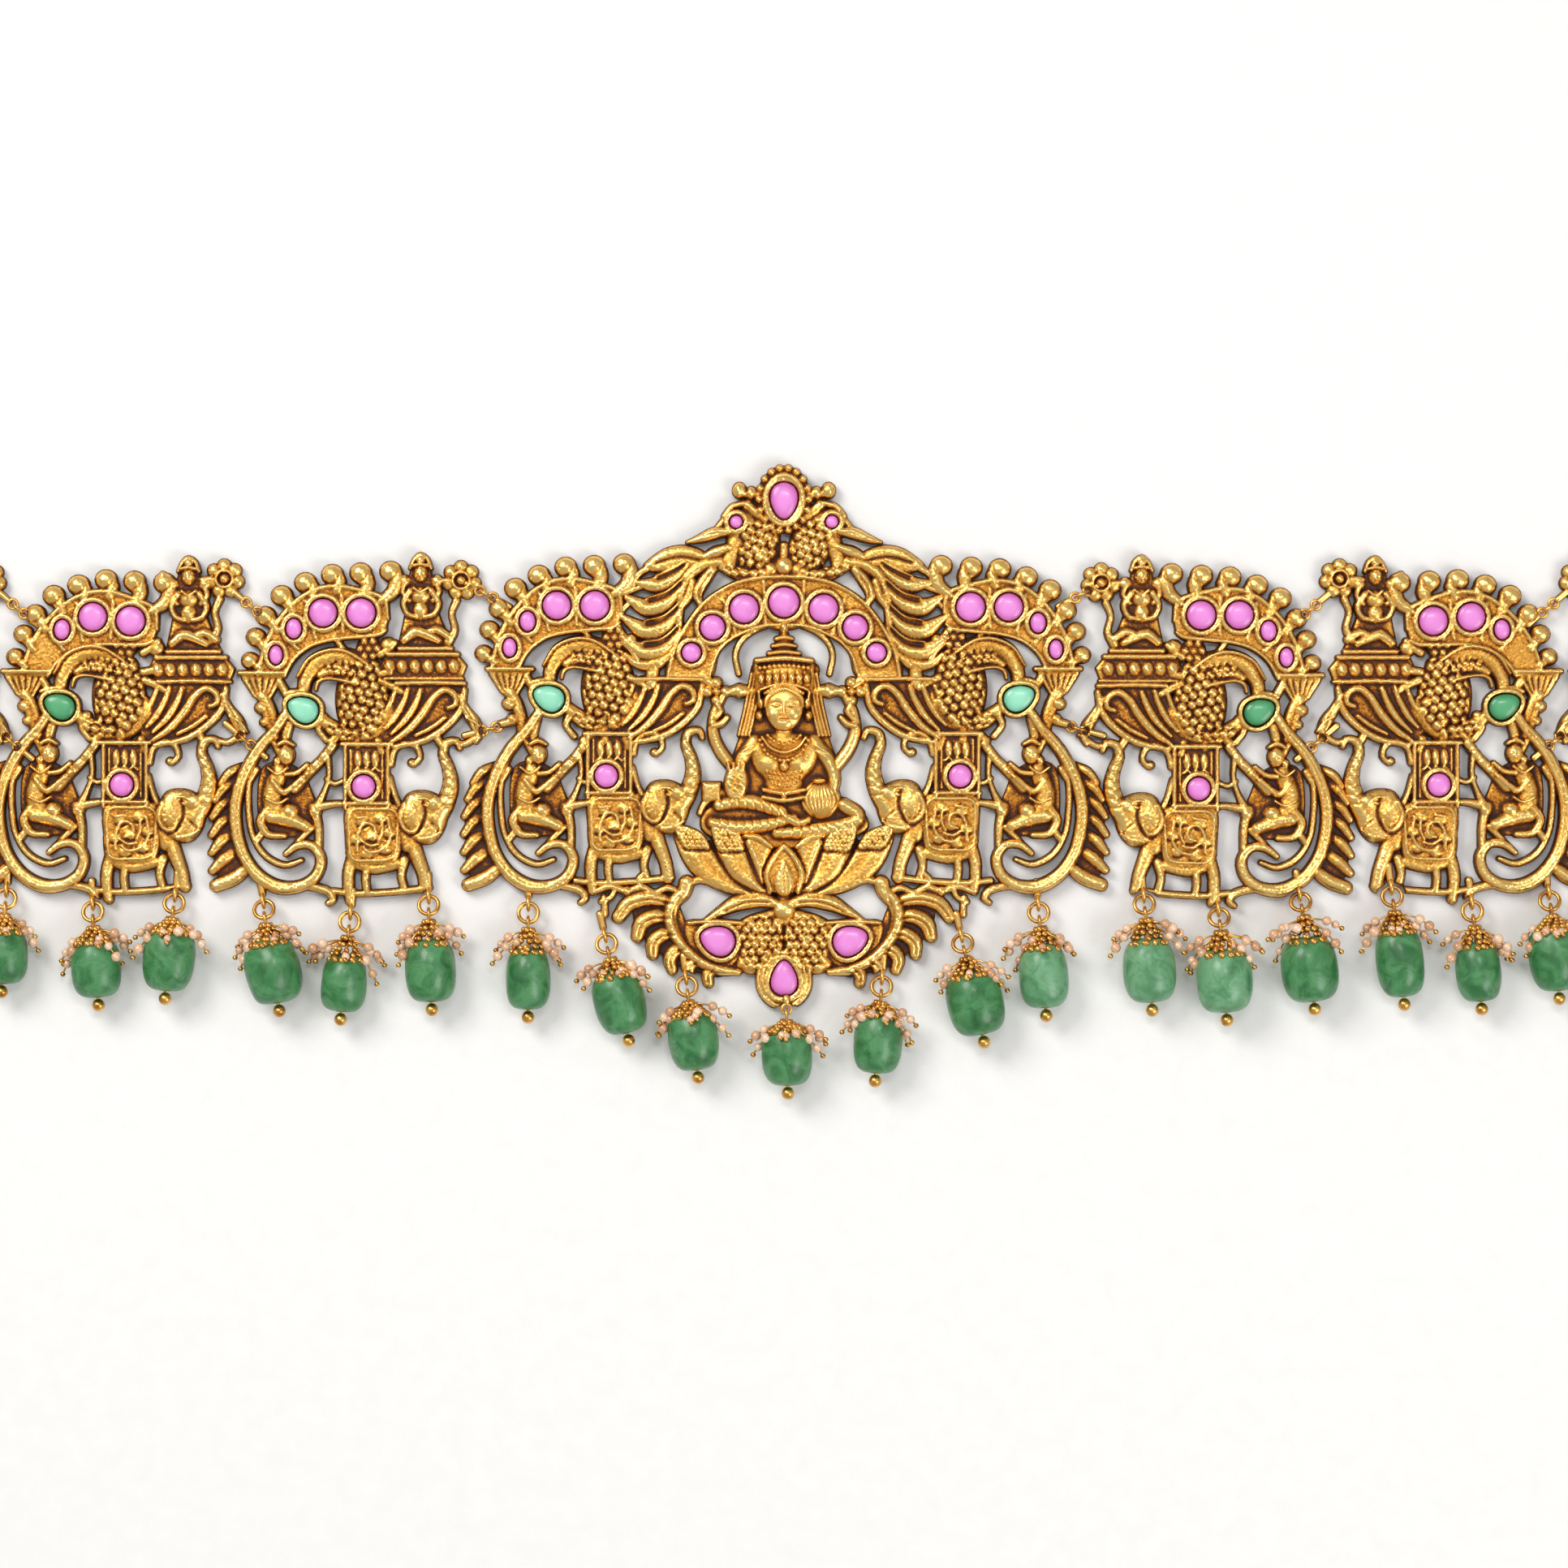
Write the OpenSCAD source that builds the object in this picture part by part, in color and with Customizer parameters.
// Oddiyanam waist belt, lying face up on a table: cast plaques, stones, bead drops and a plain back chain.
// x runs along the belt, y towards its upper edge, z up from the table; millimetres.
// The tables hold lengths in hundredths of a third of plaque_w, that is plaque_w / 300 a step.

/* [Plaques] */
// width of one side plaque from flower to flower
plaque_w = 36; // [33:0.5:40]
// thickness of the ground
plate_t = 1.0; // [0.8:0.05:1.4]
// height of leaves, ridges and frames above the table
relief_h = 1.9; // [1.7:0.05:2.3]
// height of figures, birds and heads above the table
figure_h = 2.7; // [2.5:0.05:3.2]
// metal on both sides of the drawn lines
side_grow = 0.16; // [0.1:0.02:0.2]

/* [Stones] */
// height of the bezels above the table
bezel_h = 2.5; // [2.35:0.05:2.9]
// wall of the bezels
bezel_wall = 0.5; // [0.4:0.05:0.7]
// gap between a stone and its seat
stone_gap = 0.06; // [0.05:0.01:0.12]
// height of the seats above the table
seat_h = 1.3; // [1.1:0.05:1.5]
// rise of a stone's girdle above its seat
girdle_h = 0.9; // [0.7:0.05:1.1]
// rise of the dome above the girdle
dome_h = 0.55; // [0.4:0.05:0.8]

/* [Drops] */
// thickness of a full-size bead
bead_d = 7.5; // [6.6:0.1:8.2]
// length of a full-size bead
bead_l = 9.6; // [8.8:0.1:10.4]
// drilled hole of the beads
bore_d = 1.0; // [0.9:0.05:1.3]
// wire of the head pins
pin_wire = 0.5; // [0.4:0.05:0.6]
// inner radius of a pin's loop
pin_loop_r = 0.55; // [0.5:0.05:0.7]
// radius of the ball at a pin's foot
pin_ball_r = 0.95; // [0.8:0.05:1.1]
// gap between a bead and what holds it on its pin
bead_gap = 0.12; // [0.1:0.02:0.2]
// bare pin between loop and bead on a full neck
neck_l = 2.4; // [2.2:0.1:3]
// wire of the jump rings
ring_wire = 0.6; // [0.5:0.05:0.65]
// radius of the jump rings, to the middle of the wire
ring_r = 1.45; // [1.4:0.05:1.7]
// wire of the eyelets on the plaques
eyelet_wire = 0.6; // [0.5:0.05:0.65]
// inner radius of the eyelets on the plaques
eyelet_r = 0.7; // [0.65:0.05:0.85]
// height of the eyelets' middle above the table
eyelet_h = 1.8; // [1.7:0.05:2.1]

/* [Links between plaques] */
// wire of the link rings
link_wire = 0.5; // [0.4:0.05:0.55]
// radius of the link rings, to the middle of the wire
link_r = 1.1; // [1.05:0.05:1.3]
// hole of the lugs that the link rings pass through
lug_hole = 1.0; // [0.9:0.05:1.1]
// wall round those holes
lug_wall = 0.4; // [0.35:0.05:0.5]
// thickness of those lugs
lug_t = 0.8; // [0.6:0.05:0.9]

/* [Back chain] */
// wire of the chain's links
chain_wire = 1.3; // [1.1:0.05:1.5]
// length of a chain link
chain_l = 12; // [11:0.2:13]
// width of a chain link
chain_w = 7; // [6.6:0.1:7.6]
// play between neighbouring links
chain_play = 0.25; // [0.2:0.05:0.4]
// how far the chain runs behind the belt's middle
back_y = 122; // [118:1:140]
// radius of the chain's two turns
turn_r = 30; // [26:1:36]
// wire of the hook and of the end ring
hook_wire = 1.5; // [1.3:0.05:1.6]
// radius of the end ring, to the middle of the wire
end_ring_r = 4.2; // [4:0.1:5]
// radius of the hook's bend, to the middle of the wire
hook_r = 2.9; // [2.7:0.1:3.2]
// straight return after each bend of the hook
hook_tip = 1.6; // [1.4:0.1:1.8]
// ball at the end of each return
hook_ball = 2; // [1.8:0.1:2.2]

/* [Hidden] */
$fn = 64;
step = plaque_w / 300;
golden = [0.85, 0.62, 0.25];
pink = [0.86, 0.42, 0.78];
green = [0.13, 0.55, 0.33];
pale_green = [0.45, 0.85, 0.7];
// crest: outlines filled in, [level, rounded, [[x, y], ...]]
s_crest_slabs = [
  [2, 1, [[74, 162], [47, 173], [12, 179], [-20, 171], [-48, 149], [-66, 123], [-77, 97], [-83, 68],
    [-50, 66], [-39, 88], [-20, 103], [8, 111], [38, 114], [70, 117], [78, 140]]],
];
// crest: ridges, [level, [[x, y, width], ...]]
s_crest_ribs = [
  [3, [[78, 138, 6], [73, 162, 8], [47, 172, 8], [12, 178, 8], [-20, 170, 8], [-47, 148, 8],
    [-65, 123, 8], [-76, 97, 7], [-82, 69, 7]]],
  [3, [[75, 124, 6], [66, 118, 7], [38, 115, 7], [8, 112, 7], [-18, 104, 7], [-38, 88, 7], [-50, 67, 7]]],
  [3, [[21, 173, 6], [22, 145, 6], [22, 117, 6]]],
  [3, [[-23, 165, 5], [-17, 136, 5], [-12, 110, 5]]],
  [3, [[-57, 130, 5], [-43, 109, 5], [-30, 98, 5]]],
  [2, [[70, 165, 12], [84, 178, 15], [88, 192, 20], [80, 200, 25]]],
  [2, [[47, 170, 13], [52, 183, 17], [48, 196, 26]]],
  [2, [[13, 174, 13], [15, 181, 18], [11, 191, 27]]],
  [2, [[-16, 166, 13], [-18, 173, 18], [-22, 180, 27]]],
  [2, [[-42, 147, 13], [-47, 157, 18], [-52, 165, 27]]],
  [2, [[-60, 125, 13], [-66, 133, 18], [-72, 140, 26]]],
  [2, [[-72, 100, 12], [-78, 109, 17], [-83, 114, 24]]],
  [2, [[-80, 76, 12], [-86, 82, 16], [-90, 85, 22]]],
];
// crest: bosses, [level, x, y, half_length, half_height, turn]
s_crest_discs = [
];
// cone: outlines filled in, [level, rounded, [[x, y], ...]]
s_cone_slabs = [
  [2, 0, [[-102, 72], [-52, 72], [-54, 66], [-68, 42], [-78, 38], [-87, 44], [-100, 64]]],
];
// cone: ridges, [level, [[x, y, width], ...]]
s_cone_ribs = [
  [2, [[-76, 42, 16], [-68, 28, 14], [-63, 10, 14], [-62, -6, 14]]],
  [3, [[-102, 71, 6], [-52, 71, 6]]],
  [2, [[-56, 60, 12], [-48, 44, 12], [-44, 32, 12]]],
];
// cone: bosses, [level, x, y, half_length, half_height, turn]
s_cone_discs = [
  [3, -78, 20, 7, 7, 0],
];
// bird: outlines filled in, [level, rounded, [[x, y], ...]]
s_bird_slabs = [
];
// bird: ridges, [level, [[x, y, width], ...]]
s_bird_ribs = [
  [2, [[52, 72, 26], [34, 87, 22], [10, 90, 20], [-9, 80, 22], [-20, 62, 18], [-24, 48, 16]]],
  [3, [[48, 82, 5], [28, 96, 5], [4, 98, 5], [-18, 88, 5], [-34, 68, 4]]],
  [3, [[40, 74, 5], [24, 82, 5], [8, 82, 5], [-4, 74, 6], [-8, 62, 5]]],
  [2, [[12, 114, 9], [20, 104, 9], [30, 92, 9]]],
  [2, [[-2, 16, 14], [12, 4, 14], [32, -6, 16], [56, -8, 14]]],
  [2, [[-24, 48, 8], [-40, 48, 8], [-50, 44, 6]]],
];
// bird: bosses, [level, x, y, half_length, half_height, turn]
s_bird_discs = [
  [3, 42, 38, 30, 45, 0],
  [3, -12, 71, 13, 11, 0],
  [2, 54, 101, 14, 14, 0],
  [3, 54, 101, 6, 6, 0],
  [2, -26, 25, 27, 25, 10],
];
// tail: outlines filled in, [level, rounded, [[x, y], ...]]
s_tail_slabs = [
  [2, 1, [[92, 57], [128, 59], [166, 57], [167, 42], [156, 18], [132, -2], [103, -15], [74, -15], [68, 0],
    [78, 24]]],
];
// tail: ridges, [level, [[x, y, width], ...]]
s_tail_ribs = [
  [3, [[92, 58, 6], [128, 58, 6], [168, 58, 6]]],
  [3, [[156, 32, 7], [158, 44, 7], [146, 50, 7], [132, 42, 8], [119, 22, 8], [102, 2, 7], [84, -12, 4]]],
  [3, [[116, 50, 6], [110, 34, 7], [99, 16, 6], [82, -2, 4]]],
  [3, [[100, 52, 5], [94, 34, 6], [84, 16, 5], [74, 2, 4]]],
  [2, [[166, 44, 10], [156, 16, 9], [134, -5, 9], [103, -18, 8], [74, -18, 8]]],
];
// tail: bosses, [level, x, y, half_length, half_height, turn]
s_tail_discs = [
];
// lotus: outlines filled in, [level, rounded, [[x, y], ...]]
s_lotus_slabs = [
  [2, 0, [[80, 94], [160, 94], [172, 80], [166, 66], [84, 66], [72, 78]]],
];
// lotus: ridges, [level, [[x, y, width], ...]]
s_lotus_ribs = [
  [3, [[82, 94, 6], [160, 94, 6]]],
  [3, [[74, 80, 7], [94, 87, 7], [120, 77, 7], [148, 87, 7], [170, 80, 7]]],
];
// lotus: bosses, [level, x, y, half_length, half_height, turn]
s_lotus_discs = [
  [2, 78, 105, 10, 10, 0],
];
// deity: outlines filled in, [level, rounded, [[x, y], ...]]
s_deity_slabs = [
  [2, 1, [[96, 114], [100, 140], [102, 165], [104, 188], [111, 206], [120, 210], [128, 200], [131, 185],
    [134, 162], [138, 140], [151, 114], [149, 100], [97, 100]]],
];
// deity: ridges, [level, [[x, y, width], ...]]
s_deity_ribs = [
  [3, [[98, 114, 15], [116, 121, 17], [140, 114, 15], [152, 118, 8]]],
  [3, [[103, 176, 9], [100, 156, 10], [108, 142, 9]]],
  [3, [[133, 176, 9], [137, 156, 10], [130, 142, 9]]],
  [3, [[94, 103, 6], [154, 103, 6]]],
];
// deity: bosses, [level, x, y, half_length, half_height, turn]
s_deity_discs = [
  [3, 117, 196, 11, 13, 0],
  [3, 118, 158, 12, 17, 0],
  [2, 98, 184, 8, 8, 0],
  [2, 136, 184, 8, 8, 0],
  [3, 124, 138, 9, 8, 0],
];
// howdah: outlines filled in, [level, rounded, [[x, y], ...]]
s_howdah_slabs = [
  [1, 0, [[24, -17], [78, -17], [78, -94], [24, -94]]],
  [2, 1, [[29, -96], [60, -93], [88, -96], [91, -130], [84, -160], [58, -163], [32, -158], [28, -130]]],
];
// howdah: ridges, [level, [[x, y, width], ...]]
s_howdah_ribs = [
  [3, [[24, -18, 7], [78, -18, 7]]],
  [2, [[27, -18, 7], [27, -94, 7]]],
  [2, [[75, -18, 7], [75, -94, 7]]],
  [2, [[41, -24, 5], [41, -48, 5]]],
  [2, [[51, -24, 5], [51, -46, 5]]],
  [2, [[61, -24, 5], [61, -48, 5]]],
  [3, [[30, -99, 5], [87, -99, 5]]],
  [3, [[33, -104, 4], [32, -130, 4], [36, -154, 4], [58, -158, 4], [80, -155, 4], [86, -130, 4],
    [84, -104, 4]]],
  [3, [[42, -140, 5], [44, -118, 6], [58, -114, 6], [62, -128, 6], [52, -134, 5]]],
  [3, [[76, -112, 5], [76, -134, 6], [64, -146, 5], [46, -150, 4]]],
];
// howdah: bosses, [level, x, y, half_length, half_height, turn]
s_howdah_discs = [
];
// elephant: outlines filled in, [level, rounded, [[x, y], ...]]
s_elephant_slabs = [
  [3, 1, [[96, -92], [106, -78], [124, -78], [140, -86], [147, -103], [140, -124], [126, -136],
    [108, -132], [97, -114]]],
];
// elephant: ridges, [level, [[x, y, width], ...]]
s_elephant_ribs = [
  [3, [[130, -104, 24], [144, -86, 22], [151, -66, 19], [148, -46, 16], [143, -30, 14], [148, -17, 12],
    [160, -14, 9]]],
  [2, [[82, -42, 7], [86, -24, 8], [99, -16, 9], [113, -21, 9], [116, -34, 9], [108, -41, 8]]],
  [2, [[88, -100, 16], [94, -120, 16], [100, -140, 18]]],
  [2, [[106, -132, 20], [114, -154, 18], [121, -174, 16], [123, -186, 16]]],
  [2, [[80, -158, 16], [96, -162, 14], [112, -170, 12]]],
  [2, [[36, -156, 16], [30, -174, 16], [30, -194, 14], [31, -208, 12]]],
  [2, [[36, -160, 12], [58, -166, 12], [84, -162, 12]]],
  [2, [[12, -198, 9], [32, -198, 9], [56, -198, 10], [80, -196, 10], [106, -196, 9], [124, -192, 9]]],
  [2, [[52, -168, 10], [50, -184, 10], [52, -198, 9]]],
  [3, [[100, -110, 5], [112, -116, 5], [128, -114, 5]]],
  [2, [[78, -58, 8], [84, -80, 8], [94, -96, 9]]],
  [3, [[104, -86, 9], [98, -100, 9], [102, -112, 7]]],
];
// elephant: bosses, [level, x, y, half_length, half_height, turn]
s_elephant_discs = [
  [3, 124, -92, 4, 4, 0],
];
// scroll: outlines filled in, [level, rounded, [[x, y], ...]]
s_scroll_slabs = [
];
// scroll: ridges, [level, [[x, y, width], ...]]
s_scroll_ribs = [
  [3, [[-48, 18, 12], [-62, -2, 13], [-82, -26, 13], [-100, -57, 13], [-108, -90, 13], [-107, -122, 13],
    [-98, -152, 13], [-82, -176, 14], [-58, -190, 15], [-32, -190, 14], [-12, -178, 13], [-6, -158, 12],
    [-16, -143, 11], [-34, -142, 10], [-50, -150, 8], [-64, -148, 5]]],
  [2, [[-70, -16, 5], [-86, -38, 7], [-93, -68, 7], [-93, -100, 7], [-88, -130, 7], [-74, -154, 8],
    [-50, -164, 8], [-30, -158, 6]]],
  [2, [[-28, -191, 10], [-8, -193, 10], [5, -198, 10], [9, -206, 9]]],
  [2, [[-104, -46, 9], [-118, -54, 10], [-126, -66, 8]]],
  [2, [[-109, -64, 9], [-124, -72, 10], [-132, -85, 8]]],
  [2, [[-111, -84, 9], [-126, -92, 10], [-135, -105, 8]]],
  [2, [[-112, -104, 10], [-127, -113, 10], [-136, -126, 9]]],
  [2, [[-110, -124, 10], [-126, -134, 11], [-136, -147, 9]]],
  [2, [[-106, -144, 11], [-124, -156, 12], [-136, -169, 10]]],
  [2, [[-94, -164, 13], [-112, -180, 15], [-132, -190, 15]]],
  [2, [[-64, -6, 14], [-70, 10, 12], [-74, 24, 12]]],
];
// scroll: bosses, [level, x, y, half_length, half_height, turn]
s_scroll_discs = [
];
// figure: outlines filled in, [level, rounded, [[x, y], ...]]
s_figure_slabs = [
  [1, 1, [[-78, -48], [-54, -40], [-28, -50], [-16, -75], [-8, -100], [-16, -124], [-50, -130],
    [-76, -122], [-82, -85]]],
];
// figure: ridges, [level, [[x, y, width], ...]]
s_figure_ribs = [
  [2, [[-60, -60, 24], [-62, -80, 26], [-58, -100, 26]]],
  [3, [[-66, -106, 18], [-48, -110, 20], [-26, -120, 15]]],
  [2, [[-70, -96, 14], [-78, -112, 12], [-70, -126, 10]]],
  [3, [[-64, -66, 9], [-50, -76, 9], [-34, -62, 9], [-16, -48, 9]]],
  [2, [[-28, -62, 13], [-12, -44, 16], [2, -30, 14], [10, -16, 12]]],
  [2, [[4, -34, 8], [4, -56, 7], [-2, -76, 8], [-12, -96, 12]]],
  [2, [[-12, -96, 13], [2, -92, 10], [16, -90, 8], [28, -92, 8]]],
  [2, [[-12, -100, 12], [-9, -120, 10], [-8, -146, 10]]],
  [2, [[-82, -48, 8], [-90, -60, 8]]],
  [2, [[-54, -30, 12], [-62, -16, 10], [-70, -10, 10]]],
  [2, [[-16, -120, 9], [-32, -136, 9], [-40, -144, 8]]],
  [2, [[-74, -122, 10], [-84, -134, 9]]],
  [2, [[8, -14, 12], [18, -6, 12], [30, -4, 10]]],
  [2, [[26, -60, 7], [12, -66, 6], [2, -60, 7]]],
];
// figure: bosses, [level, x, y, half_length, half_height, turn]
s_figure_discs = [
  [3, -48, -31, 11, 13, 0],
  [3, -43, -100, 12, 10, 0],
  [3, -12, -100, 8, 8, 0],
];
// stubs: outlines filled in, [level, rounded, [[x, y], ...]]
s_stubs_slabs = [
];
// stubs: ridges, [level, [[x, y, width], ...]]
s_stubs_ribs = [
  [2, [[66, -14, 12], [70, -26, 10]]],
  [2, [[40, -4, 14], [40, -18, 12]]],
  [2, [[-2, 16, 12], [-8, 2, 8], [2, -12, 8]]],
  [2, [[-44, 8, 12], [-48, -6, 12], [-48, -20, 10]]],
  [2, [[136, -5, 10], [144, -18, 10]]],
  [2, [[152, 110, 12], [160, 124, 8], [156, 144, 7], [162, 160, 9]]],
  [2, [[86, 108, 8], [78, 100, 9], [68, 94, 10]]],
  [2, [[70, 60, 10], [84, 54, 10], [94, 48, 9]]],
  [2, [[68, 70, 10], [80, 72, 10]]],
  [2, [[100, 184, 8], [92, 190, 8]]],
];
// stubs: bosses, [level, x, y, half_length, half_height, turn]
s_stubs_discs = [
];
// bonds: outlines filled in, [level, rounded, [[x, y], ...]]
s_bonds_slabs = [
];
// bonds: ridges, [level, [[x, y, width], ...]]
s_bonds_ribs = [
  [2, [[66, -14, 12], [70, -26, 10]]],
  [2, [[40, 0, 14], [40, -18, 12]]],
  [2, [[-2, 16, 12], [-8, 2, 8], [2, -12, 8]]],
  [2, [[-44, 10, 12], [-48, -6, 12], [-48, -20, 10]]],
  [2, [[70, 60, 10], [84, 54, 10], [94, 48, 9]]],
  [2, [[64, 104, 10], [74, 94, 9], [80, 82, 9]]],
  [2, [[-66, 10, 12], [-80, 5, 10], [-90, 2, 9]]],
];
// bonds: bosses, [level, x, y, half_length, half_height, turn]
s_bonds_discs = [
  [2, 72, 106, 8, 8, 0],
];
// links: outlines filled in, [level, rounded, [[x, y], ...]]
s_links_slabs = [
];
// links: ridges, [level, [[x, y, width], ...]]
s_links_ribs = [
  [2, [[140, 184, 8], [153, 185, 8]]],
  [2, [[166, 42, 9], [172, 26, 10], [184, 10, 14], [192, -2, 12], [188, -14, 8]]],
  [2, [[160, -14, 8], [172, -16, 8], [186, -8, 9]]],
  [3, [[174, 16, 5], [188, 8, 6], [196, -4, 5]]],
];
// links: bosses, [level, x, y, half_length, half_height, turn]
s_links_discs = [
  [2, 168, 184, 9, 9, 0],
];// finial: outlines filled in, [level, rounded, [[x, y], ...]]
c_finial_slabs = [
];
// finial: ridges, [level, [[x, y, width], ...]]
c_finial_ribs = [
  [2, [[-54, 294, 10], [-40, 291, 11], [-24, 292, 12]]],
  [2, [[-45, 278, 14], [-34, 268, 14], [-22, 260, 14]]],
  [3, [[-73, 245, 9], [-88, 242, 14], [-104, 236, 12], [-118, 232, 5]]],
  [3, [[-73, 228, 9], [-84, 222, 14], [-98, 216, 10], [-108, 214, 5]]],
  [2, [[-60, 232, 22], [-66, 220, 20], [-70, 206, 18]]],
  [2, [[-72, 266, 8], [-64, 276, 8], [-52, 278, 8]]],
  [2, [[-82, 252, 8], [-74, 260, 8], [-66, 266, 8]]],
  [2, [[0, 260, 22], [0, 254, 16]]],
  [2, [[-18, 200, 20], [-36, 192, 18], [-58, 196, 14], [-74, 204, 10]]],
  [2, [[0, 228, 12], [0, 210, 14]]],
  [2, [[0, 206, 26], [0, 188, 24]]],
];
// finial: bosses, [level, x, y, half_length, half_height, turn]
c_finial_discs = [
  [2, 0, 285, 28, 36, 0],
  [2, -53, 296, 9, 9, 0],
  [3, -58, 255, 17, 17, 0],
  [3, -30, 230, 22, 36, -18],
  [3, 0, 203, 11, 11, 0],
];
// arch: outlines filled in, [level, rounded, [[x, y], ...]]
c_arch_slabs = [
  [2, 1, [[-145, 68], [-137, 100], [-123, 127], [-99, 159], [-66, 180], [-32, 189], [0, 191], [0, 129],
    [-25, 128], [-48, 121], [-67, 110], [-81, 94], [-89, 68], [-116, 62]]],
];
// arch: ridges, [level, [[x, y, width], ...]]
c_arch_ribs = [
  [3, [[-141, 69, 8], [-134, 98, 8], [-121, 124, 8], [-97, 156, 8], [-65, 177, 8], [-32, 186, 8],
    [0, 188, 8]]],
  [3, [[0, 132, 7], [-25, 131, 7], [-49, 123, 7], [-69, 112, 7], [-83, 95, 7], [-92, 70, 7]]],
  [3, [[-106, 124, 5], [-100, 112, 6], [-94, 102, 5]]],
  [3, [[-74, 160, 5], [-66, 142, 6], [-60, 120, 5]]],
  [3, [[-25, 184, 5], [-24, 160, 6], [-22, 134, 5]]],
  [2, [[-56, 72, 9], [-59, 92, 9], [-54, 109, 9], [-39, 121, 9], [-20, 129, 9]]],
  [2, [[-100, 68, 16], [-90, 60, 12], [-80, 54, 12]]],
];
// arch: bosses, [level, x, y, half_length, half_height, turn]
c_arch_discs = [
];
// leaves: outlines filled in, [level, rounded, [[x, y], ...]]
c_leaves_slabs = [
  [2, 1, [[-100, 216], [-118, 226], [-142, 224], [-160, 214], [-168, 202], [-150, 197], [-126, 200],
    [-108, 204]]],
];
// leaves: ridges, [level, [[x, y, width], ...]]
c_leaves_ribs = [
  [2, [[-80, 208, 16], [-102, 204, 16], [-120, 190, 15], [-128, 170, 13], [-130, 145, 11],
    [-132, 120, 10], [-140, 96, 10], [-154, 82, 12]]],
  [3, [[-124, 200, 7], [-138, 188, 13], [-158, 178, 13], [-176, 178, 6]]],
  [3, [[-128, 178, 7], [-146, 158, 14], [-170, 152, 13], [-188, 160, 6]]],
  [3, [[-130, 152, 7], [-148, 130, 15], [-172, 124, 14], [-194, 136, 6]]],
  [3, [[-132, 124, 7], [-150, 103, 16], [-174, 99, 14], [-196, 112, 6]]],
  [2, [[-144, 94, 12], [-166, 82, 16], [-182, 84, 12], [-194, 94, 7]]],
  [2, [[-90, 198, 12], [-100, 184, 13], [-108, 168, 11], [-104, 158, 8]]],
  [2, [[-114, 184, 10], [-118, 166, 12], [-126, 154, 9]]],
  [2, [[-160, 82, 14], [-162, 72, 16], [-164, 58, 18]]],
  [2, [[-168, 200, 8], [-180, 192, 8], [-186, 178, 8]]],
  [2, [[-174, 178, 8], [-190, 172, 8], [-200, 168, 8]]],
  [2, [[-190, 158, 8], [-198, 150, 8], [-202, 142, 8]]],
  [2, [[-190, 110, 10], [-200, 120, 8], [-204, 130, 8]]],
];
// leaves: bosses, [level, x, y, half_length, half_height, turn]
c_leaves_discs = [
];
// goddess: outlines filled in, [level, rounded, [[x, y], ...]]
c_goddess_slabs = [
  [1, 1, [[0, 124], [18, 100], [40, 82], [38, 40], [46, 0], [60, -30], [64, -75], [98, -100], [98, -124],
    [34, -140], [0, -144], [-34, -140], [-94, -126], [-94, -100], [-66, -75], [-62, -30], [-46, 0],
    [-40, 40], [-42, 82], [-18, 100]]],
  [2, 0, [[0, 128], [5, 118], [11, 114], [13, 102], [19, 98], [20, 88], [42, 85], [43, 75], [38, 72],
    [37, 38], [-37, 38], [-38, 72], [-43, 75], [-42, 85], [-20, 88], [-19, 98], [-13, 102], [-11, 114],
    [-5, 118]]],
  [3, 1, [[0, -3], [-14, 6], [-22, 24], [-23, 44], [-18, 60], [0, 66], [18, 60], [25, 44], [24, 24],
    [16, 6]]],
  [2, 1, [[-32, -8], [-16, 0], [0, -12], [18, 0], [34, -8], [42, -25], [36, -50], [24, -66], [22, -84],
    [-18, -84], [-22, -66], [-32, -50], [-40, -25]]],
];
// goddess: ridges, [level, [[x, y, width], ...]]
c_goddess_ribs = [
  [2, [[-36, 54, 12], [-40, 28, 14], [-46, 2, 14], [-50, -20, 12]]],
  [2, [[36, 54, 12], [40, 28, 14], [46, 2, 14], [50, -20, 12]]],
  [3, [[-42, -20, 22], [-54, -38, 20], [-62, -56, 18]]],
  [3, [[42, -20, 22], [56, -40, 20], [60, -62, 18], [50, -78, 16]]],
  [3, [[-30, -12, 8], [-16, -26, 9], [0, -32, 9], [18, -26, 9], [32, -12, 8]]],
  [3, [[-26, -74, 9], [0, -80, 10], [26, -74, 9]]],
  [3, [[-76, -90, 18], [-54, -84, 22], [-26, -90, 22], [-4, -100, 20]]],
  [3, [[-86, -112, 18], [-56, -116, 22], [-20, -114, 20], [10, -108, 14]]],
  [3, [[-6, -126, 16], [24, -122, 20], [60, -118, 22], [90, -110, 18]]],
  [3, [[70, -90, 18], [86, -98, 20], [94, -108, 18]]],
  [2, [[-80, 38, 12], [-87, 18, 13], [-86, -4, 15], [-78, -28, 16], [-66, -46, 16]]],
  [2, [[80, 38, 12], [87, 18, 13], [86, -4, 15], [78, -28, 16], [66, -46, 16]]],
  [2, [[-80, 48, 26], [-66, 48, 18], [-52, 49, 24]]],
  [2, [[80, 48, 26], [66, 48, 18], [52, 49, 24]]],
  [2, [[-52, 49, 16], [-38, 48, 14]]],
  [2, [[52, 49, 16], [38, 48, 14]]],
  [2, [[-90, -68, 22], [-90, -84, 22]]],
  [2, [[-78, -78, 14], [-70, -82, 14]]],
  [2, [[-102, -100, 8], [-98, -90, 8], [-90, -84, 8]]],
  [2, [[-80, 38, 8], [-82, 28, 8]]],
];
// goddess: bosses, [level, x, y, half_length, half_height, turn]
c_goddess_discs = [
  [3, -67, -65, 14, 20, 0],
  [3, 44, -85, 24, 24, 0],
  [2, -80, 48, 14, 14, 0],
  [2, 80, 48, 14, 14, 0],
  [3, -53, 49, 11, 11, 0],
  [3, 53, 49, 11, 11, 0],
];
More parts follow.
